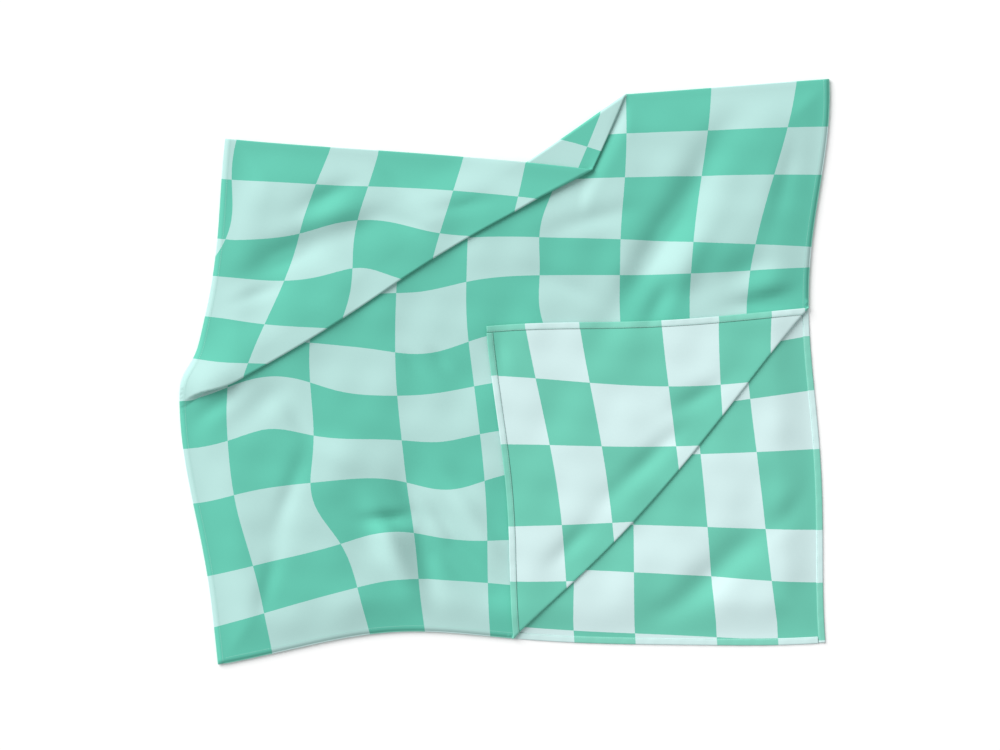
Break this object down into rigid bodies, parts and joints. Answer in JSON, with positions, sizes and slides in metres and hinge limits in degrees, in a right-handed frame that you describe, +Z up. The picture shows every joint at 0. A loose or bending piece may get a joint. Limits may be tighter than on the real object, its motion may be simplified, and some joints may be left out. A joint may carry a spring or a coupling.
{
  "type": "quick dry towel",
  "caption": "Large thin checkered travel towel lying folded in half, with a diagonal pleat and one corner of the upper leaf turned back.",
  "frame": {"origin": "centre of the laid towel's bounding box, on the table it lies on", "axes": "+Z up from the table, +X across the towel from its left side hem to its right side hem, +Y towards the half fold"},
  "size_m": [0.9143, 0.8245, 0.0142],
  "materials": {
    "printed_cloth": "matte",
    "hem_cloth": "matte",
    "sewing_thread": "matte"
  },
  "bodies": {
    "root": {"cloth": "printed_cloth", "hem_side_left": "hem_cloth", "hem_side_right": "hem_cloth", "hem_end_upper": "hem_cloth", "hem_end_lower": "hem_cloth", "stitching_side_left": "sewing_thread", "stitching_side_right": "sewing_thread", "stitching_end_upper": "sewing_thread", "stitching_end_lower": "sewing_thread"}
  },
  "joints": []
}
